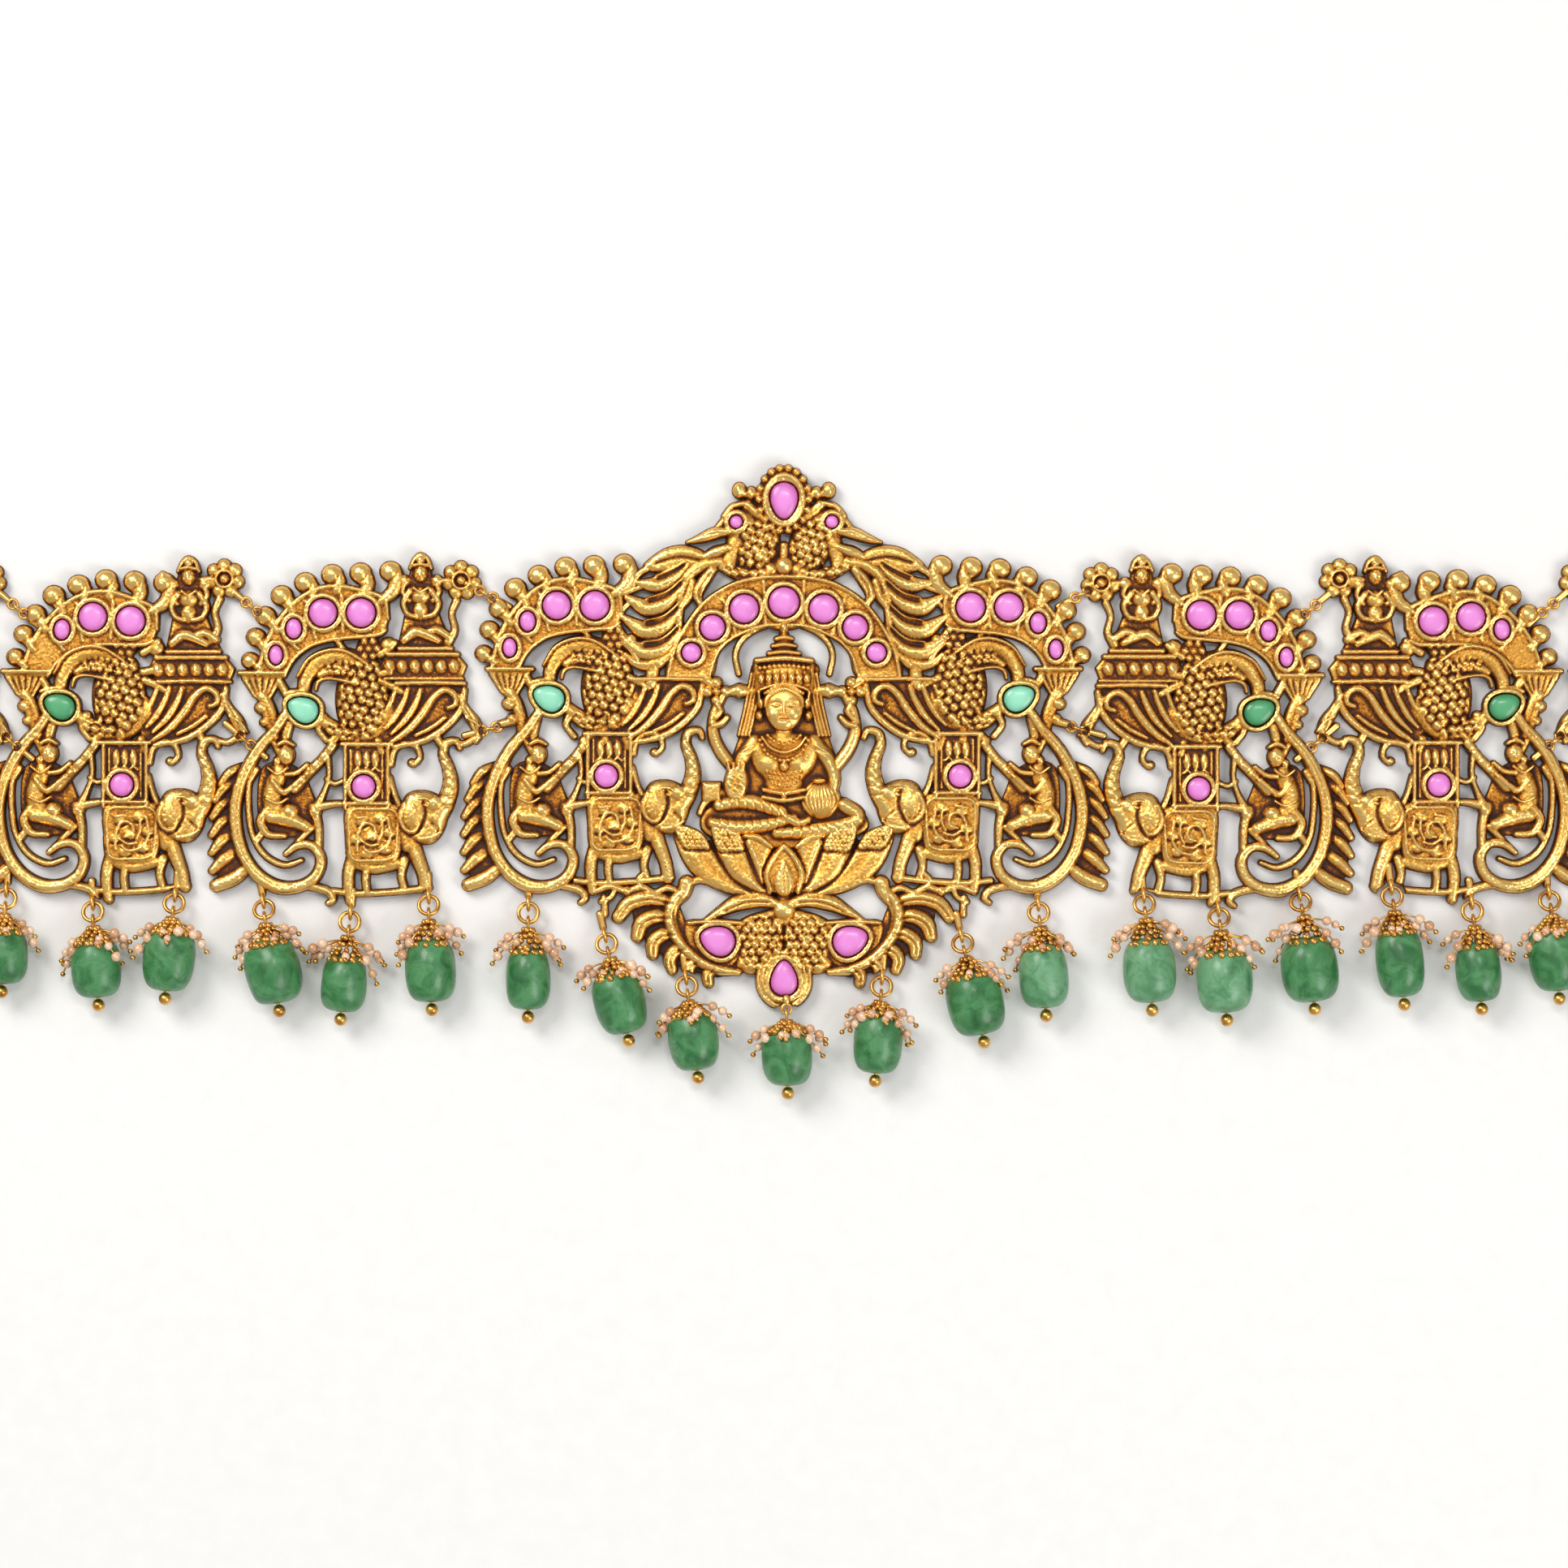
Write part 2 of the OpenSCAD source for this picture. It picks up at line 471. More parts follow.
// lotusbase: outlines filled in, [level, rounded, [[x, y], ...]]
c_lotusbase_slabs = [
  [1, 1, [[0, -134], [-66, -124], [-96, -140], [-106, -162], [-76, -188], [-36, -204], [0, -208]]],
  [2, 1, [[-140, -118], [-120, -118], [-100, -130], [-80, -158], [-50, -186], [-20, -202], [-40, -204],
    [-74, -198], [-108, -180], [-128, -154]]],
  [2, 1, [[-92, -117], [-72, -118], [-52, -132], [-40, -160], [-16, -196], [-36, -198], [-62, -180],
    [-80, -154]]],
  [3, 1, [[-49, -128], [-32, -128], [-15, -142], [-20, -160], [-18, -188], [-30, -186], [-40, -162]]],
  [3, 1, [[0, -140], [14, -156], [24, -176], [18, -196], [0, -203], [-18, -196], [-24, -176], [-14, -156]]],
];
// lotusbase: ridges, [level, [[x, y, width], ...]]
c_lotusbase_ribs = [
];
// lotusbase: bosses, [level, x, y, half_length, half_height, turn]
c_lotusbase_discs = [
  [3, 0, -221, 14, 13, 0],
];
// lower: outlines filled in, [level, rounded, [[x, y], ...]]
c_lower_slabs = [
  [2, 1, [[-118, -239], [-88, -237], [-56, -239], [-52, -262], [-60, -283], [-78, -292], [-100, -287],
    [-114, -268]]],
  [1, 1, [[0, -228], [-46, -228], [-58, -250], [-54, -280], [-36, -300], [0, -305]]],
  [1, 1, [[-132, -210], [-120, -240], [-106, -264], [-86, -284], [-58, -288], [-62, -299], [-90, -298],
    [-120, -276], [-140, -246], [-144, -218]]],
];
// lower: ridges, [level, [[x, y, width], ...]]
c_lower_ribs = [
  [2, [[0, -206, 16], [0, -228, 16]]],
  [2, [[-8, -214, 12], [-32, -208, 18], [-60, -212, 18], [-80, -222, 12], [-94, -231, 6]]],
  [2, [[-20, -228, 14], [-40, -234, 14], [-54, -242, 14]]],
  [3, [[-120, -190, 20], [-124, -200, 18], [-136, -214, 16], [-139, -236, 15], [-128, -260, 14],
    [-108, -280, 13], [-82, -293, 12], [-58, -297, 8]]],
  [2, [[-114, -187, 10], [-104, -184, 10], [-92, -186, 10]]],
  [2, [[-140, -210, 12], [-168, -206, 14], [-192, -214, 13], [-202, -230, 13]]],
  [2, [[-142, -228, 11], [-162, -228, 13], [-176, -238, 13], [-179, -251, 13]]],
  [2, [[-134, -248, 11], [-150, -250, 12], [-160, -260, 12], [-160, -272, 12]]],
  [2, [[-122, -266, 10], [-134, -270, 12], [-140, -280, 12], [-137, -291, 12]]],
  [2, [[-106, -282, 10], [-116, -288, 12], [-117, -301, 12]]],
  [2, [[-86, -290, 10], [-94, -298, 12], [-93, -308, 12]]],
  [2, [[-128, -200, 10], [-144, -194, 8], [-160, -200, 8], [-176, -193, 9], [-194, -198, 9],
    [-214, -192, 9], [-230, -198, 8]]],
  [2, [[-160, -200, 8], [-166, -208, 8]]],
  [2, [[-176, -193, 8], [-180, -184, 8], [-172, -176, 8]]],
  [2, [[-208, -195, 8], [-214, -206, 8], [-224, -210, 9]]],
  [2, [[-8, -240, 12], [-4, -280, 12]]],
  [2, [[-222, -206, 9], [-221, -216, 9], [-221, -226, 9]]],
];
// lower: bosses, [level, x, y, half_length, half_height, turn]
c_lower_discs = [
  [3, -30, -262, 26, 38, 14],
  [2, -2, -308, 28, 32, 0],
];
// pink stones of a side plaque's crest, [x, y, half_length, half_height, turn, point], point being how far
// the end at turn draws in
crest_pinks = [
  [45, 145, 18, 18, 0, 0],
  [-2, 145, 17.5, 17.5, 0, 0],
  [-38, 125.5, 9.8, 12.5, 0, 0],
  [-60, 93, 8.4, 11.8, 0, 0],
];
// pink stone of its howdah, and its green stone
howdah_pink = [48, -69, 14.5, 14.5, 0, 0];
side_green = [-27, 26, 20, 15.5, 155, 0.22];
// the point that a crest turns about
crest_pivot = [45, 145];
// pink stones of the centre plaque
centre_pinks = [
  [0, 158, 19, 19, 0, 0],
  [-49, 150, 18, 18, 0, 0],
  [49, 150, 18, 18, 0, 0],
  [-88, 127, 15.5, 15.5, 0, 0],
  [88, 127, 15.5, 15.5, 0, 0],
  [-114, 96, 12, 12, 0, 0],
  [114, 96, 12, 12, 0, 0],
  [0, 283, 23, 17, -90, 0.2],
  [0, -305, 22, 16, 90, 0.3],
  [-82, -259, 22, 18, 160, 0.2],
  [82, -259, 22, 18, 20, 0.2],
  [-59, 257, 8, 8, 0, 0],
  [59, 257, 8, 8, 0, 0],
];

// how the casting of each side plaque stands in the belt: [x, y, side, crest, crest_turn, bird, tail, deity,
// herd, scroll, stones], the pairs being small shifts of the groups
p_x = 0;
p_y = 1;
p_side = 2;
p_crest = 3;
p_turn = 4;
p_bird = 5;
p_tail = 6;
p_deity = 7;
p_herd = 8;
p_scroll = 9;
p_pinks = 10;
places = [
  [-261, 5, 1, [-17, 4], 0, [-2, 9], [-12, 0], [0, 0], [-6, 8], [6, -4], 4],
  [261, 5, -1, [-14, 2], 0, [-2, 9], [-12, 0], [0, 0], [-4, 8], [4, -4], 4],
  [-566, 0, 1, [0, 0], 0, [0, 0], [0, 0], [0, 0], [0, 0], [0, 0], 4],
  [559, -3, -1, [0, 0], 0, [0, 0], [0, 0], [0, 0], [0, 0], [0, 0], 4],
  [-858, 2, 1, [8, -12], -6, [-8, 2], [-2, 0], [6, -6], [-6, 0], [0, 0], 3],
  [853, 2, -1, [8, -12], -6, [-8, 2], [-2, 0], [6, -6], [-2, 0], [0, 0], 3],
  [-1152, 0, 1, [8, -12], -6, [-8, 2], [-2, 0], [6, -6], [-6, 0], [0, 0], 3],
  [1149, 0, -1, [8, -12], -6, [-8, 2], [-2, 0], [6, -6], [-2, 0], [0, 0], 3],
];

// the drops, [x, y of the eyelet, turn, neck, thickness, length, ringed], sizes as shares of the full ones
drops = [
  [-1252, -199, 3, 0.6, 0.9, 0.92, 1],
  [-1146, -214, 3, 0.5, 0.97, 0.96, 1],
  [-1044, -204, -6, 0.5, 1, 1, 1],
  [-958, -196, -2, 0.6, 0.95, 0.9, 1],
  [-852, -212, 4, 0.45, 0.96, 0.95, 1],
  [-750, -202, -5, 0.3, 1, 1.02, 1],
  [-642, -210, 9, 0.75, 1.06, 1.02, 1],
  [-534, -224, -5, 0.9, 0.88, 0.9, 1],
  [-438, -204, 2, 1, 0.98, 0.98, 1],
  [-315, -213, 0, 1, 0.86, 0.97, 1],
  [-221, -252, 13, 0.6, 0.98, 1, 1],
  [-121, -304, 7, 0.3, 0.97, 0.96, 1],
  [3, -343, 1, 0.1, 0.97, 0.95, 0],
  [121, -304, -4, 0.3, 0.94, 1, 1],
  [218, -252, 12, 0.65, 1.08, 1.02, 1],
  [313, -213, 4, 0.8, 0.95, 1.01, 1],
  [443, -203, 4, 1, 1.01, 1.01, 1],
  [535, -220, 4, 0.9, 1.09, 0.99, 1],
  [635, -201, 7, 1.1, 1.09, 1.02, 1],
  [748, -193, 6, 0.8, 0.92, 1.09, 1],
  [847, -211, 5, 0.75, 0.87, 0.94, 1],
  [942, -199, 5, 0.3, 1.02, 1.06, 1],
  [1044, -195, 3, 0.8, 0.93, 1, 1],
  [1143, -212, -4, 0.7, 0.9, 0.95, 1],
  [1242, -200, 2, 0.6, 1, 1, 1],
];
d_x = 0;
d_y = 1;
d_turn = 2;
d_neck = 3;
d_thick = 4;
d_long = 5;
d_ringed = 6;

// link rings between plaques, [x, y, turn] of their middles
joins = [
  [-367, 168, -28],
  [-363, 2, 15],
  [-656, 152, -40],
  [-664, -12, -40],
  [-944, 150, -40],
  [-952, -14, -40],
  [367, 168, 28],
  [363, 2, -15],
  [649, 149, 40],
  [657, -15, 40],
  [942, 151, 40],
  [950, -13, 40],
];

// the lug of the outermost plaques that the chain starts from, in the plaque's own steps
chain_lug = [-168, -70];

// turns v by a degrees
function turned(v, a) = [v[0] * cos(a) - v[1] * sin(a), v[0] * sin(a) + v[1] * cos(a)];

// a point of the smooth curve through b and c
function spline_at(a, b, c, d, t) =
  b + (c - a) * t / 2 + (2 * a - 5 * b + 4 * c - d) * t * t / 2 + (3 * b - a - 3 * c + d) * t * t * t / 2;

// a smooth closed curve through the points of p
function closed_curve(p, n) = let (m = len(p))
  [for (i = [0 : m - 1]) for (k = [0 : n - 1])
    spline_at(p[(i + m - 1) % m], p[i], p[(i + 1) % m], p[(i + 2) % m], k / n)];

// the sideways direction of a curve at its point i
function side_of(c, i) = let (
    a = c[max(0, i - 1)],
    b = c[min(len(c) - 1, i + 1)],
    d = [b[0] - a[0], b[1] - a[1]],
    l = max(norm(d), 1e-6))
  [-d[1] / l, d[0] / l];

// the two turns from a ridge's side to its other side that round an end off
cap_turns = [-55, -125];

// the outline of a ridge along the points of c, with its two ends rounded off
function ridge(c, grow) = let (
    n = len(c),
    at = [for (q = c) [q[0], q[1]]],
    w = [for (q = c) q[2] / 2 + grow],
    s = [for (i = [0 : n - 1]) side_of(c, i)])
  [
    for (i = [0 : n - 1]) at[i] + s[i] * w[i],
    for (t = cap_turns) at[n - 1] + w[n - 1] * turned(s[n - 1], t),
    for (i = [n - 1 : -1 : 0]) at[i] - s[i] * w[i],
    for (t = cap_turns) at[0] - w[0] * turned(s[0], t),
  ];

// twice the signed area of an outline
function turning(p) = let (
    m = len(p),
    parts = [for (i = [0 : m - 1]) cross(p[i], p[(i + 1) % m])])
  parts * [for (i = parts) 1];

// an outline moved outwards by grow
function spread(p, grow) = let (m = len(p), way = turning(p) > 0 ? 1 : -1)
  [for (i = [0 : m - 1]) let (
      a = p[(i + m - 1) % m],
      b = p[(i + 1) % m],
      d = [b[0] - a[0], b[1] - a[1]],
      l = max(norm(d), 1e-6))
    [p[i][0] + way * grow * d[1] / l, p[i][1] - way * grow * d[0] / l]];

// sides of the ovals in the drawings
oval_sides = 14;

// an oval, or a true circle where both radii are the same
module oval(rx, ry) {
  if (rx == ry) {
    circle(rx);
  } else {
    polygon([for (i = [1 : oval_sides]) let (t = i * 360 / oval_sides) [rx * cos(t), ry * sin(t)]]);
  }
}

// the shapes of one group that stand at a level, in steps
module group_flat(slabs, ribs, discs, level) {
  grow = side_grow / step;
  for (s = slabs) {
    if (s[0] == level) {
      polygon(step * spread(s[1] == 1 ? closed_curve(s[2], 2) : s[2], grow));
    }
  }
  for (r = ribs) {
    if (r[0] == level) {
      polygon(step * ridge(r[1], grow));
    }
  }
  for (d = discs) {
    if (d[0] == level) {
      translate(step * [d[1], d[2]])
        rotate(d[5])
          oval(step * (d[3] + grow), step * (d[4] + grow));
    }
  }
}

// the flower round a link: its middle in a side plaque, its petals, their distance from the middle, their
// radius, the radius of the ground and that of the raised eye, in steps
flower_at = [168, 185];
petals = 7;
petal_turn = 12;
petal_at = 15.5;
petal_r = 8.2;
flower_r = 11;
flower_eye = 8.5;

module flower_flat(level) {
  grow = side_grow / step;
  translate(step * flower_at) {
    if (level == 2) {
      for (i = [0 : petals - 1]) {
        rotate(i * 360 / petals + petal_turn)
          translate([petal_at * step, 0])
            circle((petal_r + grow) * step);
      }
      circle((flower_r + grow) * step);
    }
    if (level == 3) {
      circle(flower_eye * step);
    }
  }
}

// one side plaque seen from above at one level, in steps
module side_flat(place, level, whole) {
  translate(step * (place[p_crest] + crest_pivot))
    rotate(place[p_turn])
      translate(-step * crest_pivot)
        group_flat(s_crest_slabs, s_crest_ribs, s_crest_discs, level);
  group_flat(s_cone_slabs, s_cone_ribs, s_cone_discs, level);
  translate(step * place[p_bird])
    group_flat(s_bird_slabs, s_bird_ribs, s_bird_discs, level);
  translate(step * place[p_tail])
    group_flat(s_tail_slabs, s_tail_ribs, s_tail_discs, level);
  translate(step * place[p_herd]) {
    group_flat(s_howdah_slabs, s_howdah_ribs, s_howdah_discs, level);
    group_flat(s_elephant_slabs, s_elephant_ribs, s_elephant_discs, level);
  }
  translate(step * place[p_scroll]) {
    group_flat(s_scroll_slabs, s_scroll_ribs, s_scroll_discs, level);
    group_flat(s_figure_slabs, s_figure_ribs, s_figure_discs, level);
  }
  if (whole) {
    group_flat(s_stubs_slabs, s_stubs_ribs, s_stubs_discs, level);
    translate(step * place[p_deity]) {
      group_flat(s_lotus_slabs, s_lotus_ribs, s_lotus_discs, level);
      group_flat(s_deity_slabs, s_deity_ribs, s_deity_discs, level);
    }
    group_flat(s_links_slabs, s_links_ribs, s_links_discs, level);
    flower_flat(level);
  } else {
    group_flat(s_bonds_slabs, s_bonds_ribs, s_bonds_discs, level);
  }
}

// one half of the centre plaque at one level, in steps
module centre_half_flat(level) {
  group_flat(c_finial_slabs, c_finial_ribs, c_finial_discs, level);
  group_flat(c_arch_slabs, c_arch_ribs, c_arch_discs, level);
  group_flat(c_leaves_slabs, c_leaves_ribs, c_leaves_discs, level);
  group_flat(c_lotusbase_slabs, c_lotusbase_ribs, c_lotusbase_discs, level);
  group_flat(c_lower_slabs, c_lower_ribs, c_lower_discs, level);
}

// the centre plaque at one level, in steps
module centre_flat(level) {
  centre_half_flat(level);
  mirror([1, 0])
    centre_half_flat(level);
  group_flat(c_goddess_slabs, c_goddess_ribs, c_goddess_discs, level);
}

// raises the three levels of a drawing from the table into one casting
module levels() {
  linear_extrude(plate_t)
    children(0);
  linear_extrude(relief_h)
    children(1);
  linear_extrude(figure_h)
    children(2);
}

// crown facets of a cut stone, and the share of it that its table takes
facets = 16;
table_share = 0.6;

// the outline of a stone, narrower towards +x by point
function stone_outline(rx, ry, point) =
  [for (i = [0 : facets - 1]) let (t = (i + 0.5) * 360 / facets)
    [rx * cos(t), ry * sin(t) * (1 - point * cos(t))]];

// a stone's row moved by the pair d
function moved(s, d) = [s[0] + d[0], s[1] + d[1], s[2], s[3], s[4], s[5]];

// the stones of a side plaque where its groups stand, in its own steps
function side_pinks(place) = [
  for (i = [0 : place[p_pinks] - 1]) let (
      s = crest_pinks[i],
      q = place[p_crest] + crest_pivot + turned([s[0], s[1]] - crest_pivot, place[p_turn]))
    [q[0], q[1], s[2], s[3], s[4] + place[p_turn], s[5]],
  moved(howdah_pink, place[p_herd]),
];
function side_greens(place) = [moved(side_green, place[p_bird])];

// the outline round a stone, out by gap; true circles round a round one
module round_stone(s, gap) {
  if (s[2] == s[3] && s[5] == 0) {
    circle(s[2] * step + gap);
  } else {
    polygon(stone_outline(s[2] * step + gap, s[3] * step + gap, s[5]));
  }
}

// the walls round stones
module bezels(stones) {
  for (s = stones) {
    translate(step * [s[0], s[1]])
      rotate(s[4])
        linear_extrude(bezel_h)
          round_stone(s, stone_gap + bezel_wall);
  }
}

// the seats that stones drop into
module seats(stones) {
  for (s = stones) {
    translate([step * s[0], step * s[1], seat_h])
      rotate(s[4])
        linear_extrude(figure_h + bezel_h)
          round_stone(s, stone_gap);
  }
}

// stones with a table and crown facets, dropped into their seats
module cut_stones(stones) {
  for (s = stones) {
    translate([step * s[0], step * s[1], seat_h + stone_gap])
      rotate(s[4]) {
        linear_extrude(girdle_h)
          polygon(step * stone_outline(s[2], s[3], s[5]));
        translate([0, 0, girdle_h])
          linear_extrude(dome_h, scale = table_share)
            polygon(step * stone_outline(s[2], s[3], s[5]));
      }
  }
}

// a ring round z
module torus(r, wire) {
  rotate_extrude()
    translate([r, 0])
      circle(d = wire);
}

// half a ring round z, on the side of +x
module half_torus(r, wire) {
  rotate([0, 0, -90])
    rotate_extrude(angle = 180)
      translate([r, 0])
        circle(d = wire);
}

// a wire bent into an eye round z from its straight part, which leaves from [0, r] towards -x; the wire's
// end stops a gap short of it
module bent_eye(r, wire, gap) {
  end = asin((r - wire - gap) / r);
  half_torus(r, wire);
  rotate([0, 0, 180 - end])
    rotate_extrude(angle = 90 + end)
      translate([r, 0])
        circle(d = wire);
}

// width and reach of an eyelet's foot, its distance from the eyelet's wire, how far it rises over the
// eyelet's middle and how far it stays under the relief
foot_w = 1.3;
foot_l = 1.9;
foot_in = 0.35;
foot_up = 0.2;
foot_down = 0.15;

// sizes along one drop, measured from the middle of its eyelet
eyelet_mid = eyelet_r + eyelet_wire / 2;
loop_mid = pin_loop_r + pin_wire / 2;
function pin_h(d) = bead_d * d[d_thick] / 2;
function loop_h(d) = pin_h(d) - loop_mid;
function ring_tilt(d) = asin((loop_h(d) - eyelet_h) / (2 * ring_r));
function loop_at(d) = d[d_ringed] == 1 ? 2 * ring_r * cos(ring_tilt(d)) : loop_mid;
function bead_top(d) = loop_at(d) + loop_mid + pin_wire / 2 + bead_gap + neck_l * d[d_neck];
function bead_foot(d) = bead_top(d) + bead_l * d[d_long];

// moves to a drop's eyelet, its drop hanging along -y
module at_drop(d) {
  translate([step * d[d_x], step * d[d_y], 0])
    rotate([0, 0, d[d_turn]])
      children();
}

// post behind the lug that the middle drop hangs from, clear of its hole, and its rise over the lug
post_d = 1.2;
post_gap = 0.05;
post_up = 0.1;
post_y = (lug_hole + post_d) / 2 + post_gap;

// the eyelet of a drop with its foot on the plaque
module eyelet(d) {
  at_drop(d) {
    if (d[d_ringed] == 1) {
      translate([0, 0, eyelet_h])
        rotate([0, 90, 0])
          torus(eyelet_mid, eyelet_wire);
      translate([0, eyelet_mid + foot_in, 0])
        cylinder(d = foot_w, h = eyelet_h + foot_up);
      translate([-foot_w / 2, eyelet_mid + foot_in, 0])
        cube([foot_w, foot_l, relief_h - foot_down]);
    } else {
      translate([0, 0, loop_h(d) - lug_t / 2])
        difference() {
          union() {
            cylinder(d = lug_hole + 2 * lug_wall, h = lug_t);
            translate([-post_d / 2, 0, 0])
              cube([post_d, post_y, lug_t]);
          }
          translate([0, 0, -past])
            cylinder(d = lug_hole, h = lug_t + 2 * past);
        }
      translate([0, post_y, 0])
        cylinder(d = post_d, h = loop_h(d) + lug_t / 2 + post_up);
    }
  }
}

// room in the casting round an eyelet's hole and round the jump ring that swings out of it
hole_room = 0.1;
ring_room = 0.15;

// how far a cut runs past the faces it opens
past = 1;

module eyelet_room(d) {
  wide = 2 * ring_r + ring_wire + 2 * ring_room;
  deep = ring_r + ring_wire + ring_room;
  at_drop(d) {
    translate([0, 0, -past])
      cylinder(r = eyelet_r + hole_room, h = figure_h + bezel_h);
    if (d[d_ringed] == 1) {
      translate([-wide / 2, ring_wire / 2 + ring_room - deep, eyelet_h - ring_wire / 2 - ring_room])
        cube([wide, deep, figure_h + bezel_h]);
    }
  }
}

module jump_ring(d) {
  if (d[d_ringed] == 1) {
    at_drop(d)
      translate([0, -loop_at(d) / 2, (eyelet_h + loop_h(d)) / 2])
        rotate([-ring_tilt(d), 0, 0])
          torus(ring_r, ring_wire);
  }
}

module head_pin(d) {
  at_drop(d) {
    translate([0, -loop_at(d), loop_h(d)])
      rotate([90, 0, 90]) {
        bent_eye(loop_mid, pin_wire, bead_gap);
        translate([0, loop_mid, 0])
          rotate([0, -90, 0])
            cylinder(d = pin_wire, h = bead_foot(d) + bead_gap + pin_ball_r - loop_at(d));
      }
    translate([0, -bead_foot(d) - bead_gap - pin_ball_r, pin_h(d)])
      sphere(pin_ball_r);
  }
}

// powers that fill a tumbled bead out over an ellipse, across and along
bead_full = 0.55;
bead_square = 0.8;

// the outline of a tumbled bead, from its axis outwards
function bead_side(r, h) = [
  [0, -h],
  for (a = [-78 : 12 : 78]) [r * pow(cos(a), bead_full), h * sign(a) * pow(abs(sin(a)), bead_square)],
  [0, h],
];

module bead(d) {
  color(green)
    at_drop(d)
      translate([0, -(bead_top(d) + bead_foot(d)) / 2, pin_h(d)])
        rotate([90, 0, 0])
          rotate_extrude()
            difference() {
              polygon(bead_side(bead_d * d[d_thick] / 2, bead_l * d[d_long] / 2));
              translate([-past, -bead_l])
                square([past + bore_d / 2, 2 * bead_l]);
            }
}

// reach of a lug into its casting, and the width of that arm
lug_arm = 2.8;
arm_w = 1.2;

// link rings stand on edge, their wire just off the table
link_lift = 0.05;
link_h = link_r + link_wire / 2 + link_lift;

// room round a link ring, on both sides together, along and across it
room_along = 0.4;
room_across = 0.5;

module at_join(j) {
  translate([step * j[0], step * j[1], link_h])
    rotate([0, 0, j[2]])
      children();
}

module link_ring(j) {
  at_join(j)
    rotate([90, 0, 0])
      torus(link_r, link_wire);
}

// room for a link ring in the castings
module link_room(j) {
  at_join(j)
    cube([2 * link_r + link_wire + room_along, link_wire + room_across, 4 * figure_h], center = true);
}

// the lug of a casting on one side of a join
module link_lug(j, way) {
  at_join(j)
    mirror([way > 0 ? 1 : 0, 0, 0])
      translate([-link_r, 0, -lug_t / 2])
        difference() {
          union() {
            cylinder(d = lug_hole + 2 * lug_wall, h = lug_t);
            translate([-lug_arm, -arm_w / 2, 0])
              cube([lug_arm, arm_w, lug_t]);
          }
          translate([0, 0, -past])
            cylinder(d = lug_hole, h = lug_t + 2 * past);
        }
}

// one side plaque with its stones' seats; k is its row in places, the lists are its drops and joins
module side_plaque(k, drop_rows, inner_joins, outer_joins, chained) {
  place = places[k];
  side = place[p_side];
  color(golden) {
    difference() {
      translate([step * place[p_x], step * place[p_y], 0])
        mirror([side > 0 ? 0 : 1, 0, 0])
          difference() {
            union() {
              levels() {
                side_flat(place, 1, true);
                side_flat(place, 2, true);
                side_flat(place, 3, true);
              }
              bezels(side_pinks(place));
              bezels(side_greens(place));
              if (chained) {
                chain_foot();
              }
            }
            seats(side_pinks(place));
            seats(side_greens(place));
          }
      for (i = inner_joins) {
        link_room(joins[i]);
      }
      for (i = outer_joins) {
        link_room(joins[i]);
      }
      for (i = drop_rows) {
        eyelet_room(drops[i]);
      }
    }
    for (i = inner_joins) {
      link_lug(joins[i], side > 0 ? -1 : 1);
    }
    for (i = outer_joins) {
      link_lug(joins[i], side > 0 ? 1 : -1);
    }
    for (i = drop_rows) {
      eyelet(drops[i]);
    }
  }
}

// turn of the links, the end ring and the hook out of the table's plane
lean = 45;

// sizes of a link to the middle of its wire, and its middle above the table
chain_mid = (chain_w - chain_wire) / 2;
chain_half = (chain_l - chain_wire) / 2;
chain_h = chain_mid * sin(lean) + chain_wire / 2;

// radius and wire of the lug that the chain starts from, the reach of its foot and the foot's rise over
// the lug's middle
lug_mid = 2.2;
lug_wire = 1.2;
lug_reach = 5.2;
lug_up = 0.4;

// the lug that the chain starts from, in the plaque's own frame
module chain_foot() {
  translate([step * chain_lug[0], step * chain_lug[1], 0]) {
    translate([0, 0, chain_h])
      torus(lug_mid, lug_wire);
    translate([lug_mid, -foot_w / 2, 0])
      cube([lug_reach, foot_w, chain_h + lug_up]);
  }
}

// the lug of the side way, x away from the belt's middle being negative on both sides
function end_place(way) = places[way > 0 ? 6 : 7];
function lug_x(way) = step * (way * end_place(way)[p_x] + chain_lug[0]);
function lug_y(way) = step * (end_place(way)[p_y] + chain_lug[1]);

// the way of the chain behind the belt, [x, y, heading] at the length s from its lug, on the side way
function rise(way) = back_y - turn_r - lug_y(way);
function chain_point(s, way) = let (up = rise(way), bend = turn_r * PI / 2)
  s < up ? [lug_x(way), lug_y(way) + s, 90] :
  s < up + bend ? let (a = (s - up) / turn_r * 180 / PI)
    [lug_x(way) + turn_r * (1 - cos(a)), back_y - turn_r + turn_r * sin(a), 90 - a] :
  [lug_x(way) + turn_r + s - up - bend, back_y, 0];
// half the length that the end ring and the hook take between the two chains
end_x = 14;
// the lug and the end ring lie across a link's bend, so their play counts twice
first_s = lug_mid - (chain_wire + lug_wire) / 2 - 2 * chain_play + chain_half;
function last_s(way) = rise(way) + turn_r * PI / 2 - end_x - lug_x(way) - turn_r;
// the right side has an odd number of links more or less than the left, so the hook stands across the ring
function link_count(way) = let (
    n = ceil((last_s(way) - first_s) / (chain_l - 2 * chain_wire - chain_play)))
  way > 0 ? n : n + (n + link_count(1) + 1) % 2;

module chain_link() {
  straight = (chain_l - chain_w) / 2;
  for (s = [0, 180]) {
    rotate([0, 0, s]) {
      translate([straight, 0, 0])
        half_torus(chain_mid, chain_wire);
      translate([-straight, chain_mid, 0])
        rotate([0, 90, 0])
          cylinder(d = chain_wire, h = 2 * straight);
    }
  }
}

